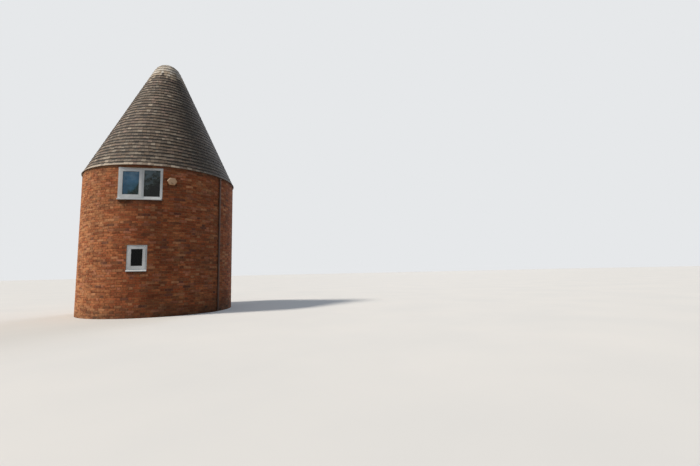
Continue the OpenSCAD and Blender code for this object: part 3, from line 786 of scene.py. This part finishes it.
windowSizes = {
    "rebate": 8 * mm,  # how far the glass runs in behind the frame
    "member": 42 * mm,  # width of the outer frame's sides
    "edge": 2.5 * mm,
    "gasket": 5 * mm,
    "gasketProud": 3 * mm,
    "gasketEdge": 0.8 * mm,
    "sealant": 8 * mm,
    "sealantBack": (6 * mm, 2 * mm),  # how far it is set back, and where a frame stands out of the wall
    "seam": 1.2 * mm,  # mitre seams, drawn coarse enough to show
    "seamEnd": 2 * mm,  # they stop short of the rounded edges
    "endCap": 3 * mm,
    "capHeight": 35 * mm,
}
paintedPaneReflections = {  # painted reflection: stops of what each pane mirrors, painted into its colour, from its lower right to its upper left
    "upper_casement_glass": {"patch": 0.2, "shine": 0.3, "stops": [
        (0.23, "#131d17"), (0.33, "#204040"), (0.45, "#386781"), (0.63, "#4b7da2"), (1, "#84abc4")]},
    "upper_fixed_glass": {"patch": 0.12, "shine": 0.3, "stops": [
        (0.38, "#030502"), (0.52, "#161f15"), (0.62, "#34413c"), (0.8, "#62767f")]},
    "lower_casement_glass": {"patch": 0.2, "shine": 0.12, "stops": [(0.3, "#050604"), (0.8, "#0c0e0a")]},
}
fineRipple = {"size": 3 * mm, "Detail": 1}  # orange peel on moulded plastic


def makeMoulded(name, colour, worn, roughness, patch, peel):
    # extruded or moulded plastic: an even colour that weather has dulled in places, and a faint orange peel
    return makePlain(name, (roughness,), {"size": patch, "Detail": 4, "Roughness": 0.65},
                     [(0.35, worn), (0.6, colour)], ("TexNoise", fineRipple), peel, 0.3 * mm)


def makePane(name, tint):
    # float glass over a dark room: smooth and deep, with a painted reflection of pale light at its upper left
    # and deep shade at its lower right
    material, add, place = startMaterial(camel(name) + "Float", 0.04, tint["shine"], IOR=1.52, Alpha=0.9)
    low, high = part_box(name)
    spot = add("SeparateXYZ", place).node.outputs
    up = add("MapRange", spot["Z"], low[2], high[2], 0, 0.5)
    left = add("MapRange", spot["X"], high[0], low[0], 0, 0.25)
    rise = add("Math", up, left, operation="ADD")
    patches = add("TexNoise", place, size=tint["patch"], Detail=3, Roughness=0.55)
    total = add("Math", patches, 0.8, rise, operation="MULTIPLY_ADD")
    share = add("Math", total, 0.22, operation="SUBTRACT")
    return finishMaterial(material, add("ValToRGB", share, stops=tint["stops"]))


whiteFrame = makeMoulded("whiteVinyl", "#e8ecef", "#d7dbdd", 0.38, 0.25, 0.15)
sealantSkin = makeMoulded("siliconeSealant", "#cfcfca", "#b5b3ab", 0.55, 0.05, 0.3)
# black glazing rubber: dark, slightly grey where it has dried out
rubber = makePlain("glazingRubber", (0.7, 0.4), {"size": 20 * mm, "Detail": 3},
                   [(0.3, "#161717"), (0.7, "#2b2c2c")])


def addRing(build, outer, inner, y0, y1):
    # a flat ring between two rectangles (x0, x1, z0, z1), with mitred corners
    verts = []
    for x0, x1, z0, z1 in (outer, inner):
        for x, z in ((x0, z0), (x1, z0), (x1, z1), (x0, z1)):
            verts += [(x, y0, z), (x, y1, z)]
    quads = []
    for i in range(4):
        a, b = 2 * i, 2 * ((i + 1) % 4)
        quads += [(a, b, b + 8, a + 8), (a + 1, a + 9, b + 9, b + 1), (a, a + 1, b + 1, b),
                  (a + 8, b + 8, b + 9, a + 9)]
    addShape(build, verts, quads)


def inset(rectangle, amount):
    x0, x1, z0, z1 = rectangle
    return (x0 + amount, x1 - amount, z0 + amount, z1 - amount)


def nodeRectangle(name):
    low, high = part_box(name)
    return (low[0], high[0], low[2], high[2])


def brickFace(x):
    # how far forward the bricks are at x
    return -sqrt(wallRadius ** 2 - x ** 2) - wallSizes["proud"]


def makeGasket(name):
    build = newBuild()
    size = windowSizes
    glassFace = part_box(name)[0][1]
    sight = inset(nodeRectangle(name), size["rebate"])
    addRing(build, inset(sight, -0.3 * mm), inset(sight, size["gasket"]), glassFace - size["gasketProud"],
            glassFace + 1 * mm)
    piece = addPiece(camel(name).replace("Glass", "Gasket"), build, [rubber])
    roundEdges(piece, size["gasketEdge"], 1)


def makeSeams(name, frames):
    # welded mitres, from the outer corners of each frame to its inner ones
    build = newBuild()
    for outer, inner, y in frames:
        for i in range(4):
            (xo, zo), (xi, zi) = ((edges[i // 2], edges[2 + i % 2]) for edges in (outer, inner))
            across = Vector((zo - zi, 0, xi - xo)).normalized() * windowSizes["seam"] / 2
            verts = [(x + side * across.x, y - depth, z + side * across.z)
                     for x, z in ((xo, zo), (xi, zi)) for side in (-1, 1) for depth in (0.25 * mm, -1 * mm)]
            addShape(build, verts, ((0, 2, 6, 4), (0, 4, 5, 1), (2, 3, 7, 6), (0, 1, 3, 2), (4, 6, 7, 5)))
    addPiece(name, build, [sealantSkin])


def makeSealant(name, frameNode):
    # a bead of sealant runs up both sides of a frame and across its head
    build = newBuild()
    low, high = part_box(frameNode)
    size, bead = windowSizes, windowSizes["sealant"]
    wallFace = brickFace(high[0])
    standsOut = low[1] < wallFace  # a wide frame does, where the round wall falls away from it
    front = min(low[1], wallFace) + size["sealantBack"][standsOut]
    back = max(low[1], wallFace) + 4 * mm
    inner = high[0] - (0 if standsOut else 0.4 * bead)
    for side in (-1, 1):
        addBox(build, (inner, front, low[2]), (inner + bead, back, high[2] + bead / 2), side=side)
    addBox(build, (low[0], low[1] + 1 * mm, high[2]), (high[0], low[1] + 12 * mm, high[2] + bead / 2))
    roundEdges(addPiece(name, build, [sealantSkin]), 2 * mm)


def makeSillEnds(name, sillNode):
    # a cap closes each end of the sill, outside the brickwork
    build = newBuild()
    size, lap = windowSizes, 1 * mm
    low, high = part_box(sillNode)
    far = (high[0] + size["endCap"], brickFace(high[0]) - lap, low[2] + size["capHeight"])
    for side in (-1, 1):
        addBox(build, (high[0] - lap, low[1] - lap, low[2] - lap), far, side=side)
    roundEdges(addPiece(name, build, [whiteFrame]), 1.5 * mm)


def dressWindows():
    size = windowSizes
    frames = [n for n in nodes if n.startswith(("upper_window", "lower_window")) and not n.endswith("lintel")]
    dress(frames, whiteFrame, size["edge"])
    for name, tint in paintedPaneReflections.items():
        dress([name], makePane(name, tint))
        makeGasket(name)
    for level in ("upper", "lower"):
        frameName, leafName = level + "_window_frame", level + "_window_casement"
        outer, leaf = nodeRectangle(frameName), nodeRectangle(leafName)
        sight = inset(nodeRectangle(level + "_casement_glass"), size["rebate"])
        makeSeams(level + "Seams", [
            (inset(outer, size["seamEnd"]), inset(outer, size["member"]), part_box(frameName)[0][1]),
            (inset(leaf, size["seamEnd"]), inset(sight, -size["seamEnd"]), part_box(leafName)[0][1])])
        makeSealant(level + "Sealant", frameName)
        makeSillEnds(level + "SillEnds", level + "_window_sill")
    print("windows dressed")


dressWindows()


# timber inside and the door at the back

# the grain's width and length, drawn this share as fine as it is so that it shows
woodSizes = {"grain": 4 * mm, "long": 0.35, "coarse": 0.35}
pavingSizes = {"Mortar Size": 5 * mm, "Brick Width": 225 * mm, "Row Height": 112 * mm}
doorSizes = {
    "nailHead": 7 * mm,
    "nailProud": 3 * mm,
    "boards": 7,
    "ledges": (0.115, 0.49, 0.865),  # shares of the door's height
    "nailsFrom": 42 * mm,  # from the middle of a ledge
}


def makeWood(name, face, grain, direction, roughness=0.75, weathered=0.0):
    # timber as the saw or the weather left it: grain along its length, a few darker streaks
    material, add, place = startMaterial(name, roughness, 0.35)
    scale = [woodSizes["coarse"] / woodSizes["grain"]] * 3
    scale[direction] = woodSizes["coarse"] / woodSizes["long"]
    stretch = add("Mapping", place, Scale=scale)
    lines = add("TexNoise", stretch, Scale=1, Detail=5, Roughness=0.6)
    base = add("ValToRGB", lines, stops=[(0.35, grain), (0.62, face)])
    # silvered streaks, eleven grain lines wide
    patches = add("TexNoise", stretch, Scale=0.09, Detail=6, Roughness=0.7)
    share = add("MapRange", patches, 0.42, 0.68, 0, 0.3 + weathered)
    greyed = add("Mix", share, base, "#8a857b" if weathered else grain, data_type="RGBA")
    return finishMaterial(material, greyed, lines, 0.5, 1.2 * mm)


def makePaving():
    # worn paving bricks, dusty, with pale joints
    material, add, place = startMaterial("pavingBrick", 0.9)
    laid = add("TexBrick", place, "#8d5a45", "#744636", "#9b8a76", Scale=1, **pavingSizes)
    dust = add("TexNoise", place, size=0.4, Detail=5)
    dusty = add("Mix", add("MapRange", dust, 0.4, 0.7, 0, 0.5), laid, "#a3947f", data_type="RGBA")
    return finishMaterial(material, dusty, laid.node.outputs["Fac"], 0.4, -3 * mm)


def makeDoorNails(material):
    # rose-headed nails hold the boards to the ledges behind them
    size = doorSizes
    low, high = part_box("door_planks")
    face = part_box("door_frame")[1][1]
    board = (high[0] - low[0]) / size["boards"]
    places = []
    for share in size["ledges"]:
        for column in range(size["boards"]):
            for side in (-1, 1):
                x = low[0] + (column + 0.5 + side / 4) * board
                z = low[2] + (high[2] - low[2]) * share + side * size["nailsFrom"] + dice.uniform(-3, 3) * mm
                places.append(Matrix.Translation((x, face, z)) @ turned(-90, "X"))
    r, proud = size["nailHead"], size["nailProud"]
    profile = [(r, -1 * mm), (r, 0.6 * mm), (r * 0.55, proud * 0.8), (r * 0.15, proud)]
    addTurned("doorNails", profile, 6, places, material)


# forged iron under old black paint: hammered, a little rust where the paint has gone
iron = makePlain("blackPaintedIron", (0.55, 0.5, 0.3), {"size": 30 * mm, "Detail": 6, "Roughness": 0.7},
                 [(0.5, "#1f1e1d"), (0.66, "#3a2a20"), (0.8, "#6b4029")],
                 ("TexVoronoi", {"size": 12 * mm}), 0.4, 0.6 * mm)
dress(["floor_joists", "wall_plate", "battens", "roof_kerb"],
      makeWood("sawnSoftwood", "#b8966b", "#8c6b47", 0))
dress(["rafters"], makeWood("sawnRafters", "#b39067", "#876744", 2))
dress(["floor_boards"], makeWood("floorBoards", "#b08a5e", "#83623f", 1))
dress(["ground_floor"], makePaving())
dress(["door_frame", "door_planks"], makeWood("weatheredOak", "#8d7458", "#5d4a37", 2, 0.8, 0.35), 2 * mm)
lintels = [n for n in nodes if n.endswith("_lintel")]
dress(lintels, makeWood("lintelOak", "#7d634a", "#54412f", 0, 0.8, 0.2), 3 * mm)
dress(["door_ironwork"], iron, 1 * mm)
makeDoorNails(iron)
print("timber and door dressed")


# alarm box and pipe

alarmSizes = {
    "angle": 20.9,
    "height": 4.110,
    "face": 66 * mm,
    "dirty": 15 * mm,  # the darker colours, dirt and painted shade, begin this far behind the face
    "screw": 5 * mm,
    "screwAcross": 92 * mm,
}
pipeSizes = {
    "angle": 60.6,
    "axisRadius": 2.4435,
    "radius": 31.5 * mm,
    "socketLow": 2.18,
    "socketLength": 70 * mm,
    "socketWall": 3.5 * mm,
    "socketLip": 2 * mm,
    "clips": [0.364 + i * 1.27167 for i in range(4)],  # heights of their middles
    "face": 4 * mm,  # of a clip
    "screw": 5 * mm,
    "screwAcross": 34 * mm,
}


def addScrews(name, size, heights, material):
    # pan heads stand out of the wall at both sides of a middle line that runs up it
    heads = ((1, 0.4), (0.75, 0.62), (0.3, 0.72))  # radius and height, in shares of the radius
    r = size["screw"]
    profile = [(r, -1 * mm)] + [(r * wide, r * high) for wide, high in heads]
    out = turned(size["angle"], "Z") @ turned(90, "X")
    sides = [out @ Matrix.Translation((side * size["screwAcross"], 0, 0)) for side in (-1, 1)]
    middles = [ring(size["angle"], wallRadius + size["face"], height) for height in heights]
    places = [Matrix.Translation(middle) @ side for middle in middles for side in sides]
    addTurned(name, profile, 12, places, material)


def makeHousing():
    # moulded cream plastic that the sun has turned: palest on its face, browner close to the wall with dirt
    # and painted shade
    material, add, place = startMaterial("sunYellowedPlastic", 0.5)
    stain = add("TexNoise", place, size=70 * mm, Detail=5, Roughness=0.65)
    depth = add("VectorMath", place, ring(alarmSizes["angle"], 1, 0), operation="DOT_PRODUCT")
    reach = add("Math", stain, -0.03, depth, operation="MULTIPLY_ADD")
    back = wallRadius - alarmSizes["dirty"]
    along = add("MapRange", reach, back + alarmSizes["face"], back)
    stops = [(0, "#dfb894"), (0.16, "#cfa075"), (0.45, "#9d6a40"), (1, "#6f421e")]
    base = add("ValToRGB", along, stops=stops)
    return finishMaterial(material, base, add("TexNoise", place, **fineRipple), 0.3, 0.3 * mm)


def makePipeSocket(material):
    # one joint half way up, where the upper length stands in the socket of the lower one
    size = pipeSizes
    r, out = size["radius"], size["radius"] + size["socketWall"]
    top, lip = size["socketLength"], size["socketLip"]
    profile = [(r, 0), (out, 3 * mm), (out, top - 12 * mm), (out + lip, top - 10 * mm),
               (out + lip, top - 2 * mm), (out, top), (r, top)]
    place = Matrix.Translation(ring(size["angle"], size["axisRadius"], size["socketLow"]))
    addTurned("pipeSocket", profile, 48, [place], material, closed=False)


housing = makeHousing()
drainPipe = makeMoulded("brownPipePlastic", "#563829", "#41291c", 0.55, 0.3, 0.2)
dress(["alarm_box_base", "alarm_box_cover"], housing, 2 * mm)
dress(["wall_pipe", "pipe_clips"], drainPipe)
addScrews("alarmScrews", alarmSizes, [alarmSizes["height"]], housing)
makePipeSocket(drainPipe)
addScrews("clipScrews", pipeSizes, pipeSizes["clips"], iron)
print("alarm box and pipe dressed")


# stage, light and camera

lightSizes = {
    "key": (-80, 50, 8, 3.6, "#fff4e6"),  # angle from the front, rise, softness in degrees, strength, colour
    "back": (152, 30, 30, 0.9, "#e8f0ff"),
    "room": (0.14, 0.4),  # strength at the horizon and overhead
    "roomColour": "#e3edfb",
    "backdrop": "#e6e8ea",
}
viewpoint = {
    "place": (3.930, -14.030, 1.193),  # metres
    "turn": 12.2,  # degrees to the right of straight ahead
    "tilt": 6.28,  # degrees up
    "roll": 1.21,
    "lens": 18.41,
}


def seenDirectly(add):
    # 1 for what the camera sees, also in a mirror or through glass, and 0 for light thrown on the part
    ray = add("LightPath").node.outputs
    seen = add("Math", ray["Is Camera Ray"], ray["Is Glossy Ray"], operation="MAXIMUM")
    return add("Math", seen, ray["Is Transmission Ray"], operation="MAXIMUM")


def makeFloor():
    # smooth pale screed, a little uneven in tone
    material, add, place = startMaterial("paleScreed", 0.9, 0.1)
    patches = add("TexNoise", place, size=2.5, Detail=4)
    base = add("ValToRGB", patches, stops=[(0.3, "#cdcecd"), (0.7, "#d2d2d0")])
    # it throws less light back at the walls than it shows, as it would out of doors
    finishMaterial(material, add("Mix", seenDirectly(add), "#8e8d8a", base, data_type="RGBA"))
    mesh = bpy.data.meshes.new("floor")
    reach = 500
    corners = [(x * reach, y * reach, 0) for x, y in ((-1, -1), (1, -1), (1, 1), (-1, 1))]
    mesh.from_pydata(corners, [], [(0, 1, 2, 3)])
    mesh.materials.append(material)
    addObject("floor", mesh)


def makeLights():
    world = bpy.data.worlds.new("studio")
    bpy.context.scene.world = world
    world.use_nodes = True
    world.node_tree.nodes.clear()
    add = partial(addNode, world.node_tree)
    rise = add("SeparateXYZ", add("TexCoord", out="Generated"), out="Z")
    room = add("Background", lightSizes["roomColour"], add("MapRange", rise, 0, 1, *lightSizes["room"]))
    backdrop = add("Background", lightSizes["backdrop"], 1)
    add("OutputWorld", add("MixShader", seenDirectly(add), room, backdrop))
    distance = 20
    for name in ("key", "back"):
        angle, rise, softness, strength, code = lightSizes[name]
        lamp = bpy.data.lights.new(name + "Light", "SUN")
        lamp.angle = radians(softness)
        lamp.energy = strength
        lamp.color = toLinear(code)[:3]
        holder = addObject(name + "Light", lamp)
        up = radians(rise)
        holder.location = ring(angle, distance * cos(up), distance * sin(up))
        holder.rotation_euler = (-holder.location).to_track_quat("-Z", "Y").to_euler()


def makeCamera():
    camera = bpy.data.cameras.new("camera")
    camera.lens = viewpoint["lens"]
    camera.sensor_width = 36
    camera.sensor_fit = "HORIZONTAL"
    holder = addObject("camera", camera)
    turn, tilt, roll = (viewpoint[part] for part in ("turn", "tilt", "roll"))
    holder.matrix_world = (Matrix.Translation(viewpoint["place"]) @ turned(-turn, "Z")
                           @ turned(90 + tilt, "X") @ turned(-roll, "Z"))
    bpy.context.scene.camera = holder


makeFloor()
makeLights()
makeCamera()
bpy.context.scene.view_settings.view_transform = "Standard"
print("stage, light and camera set")
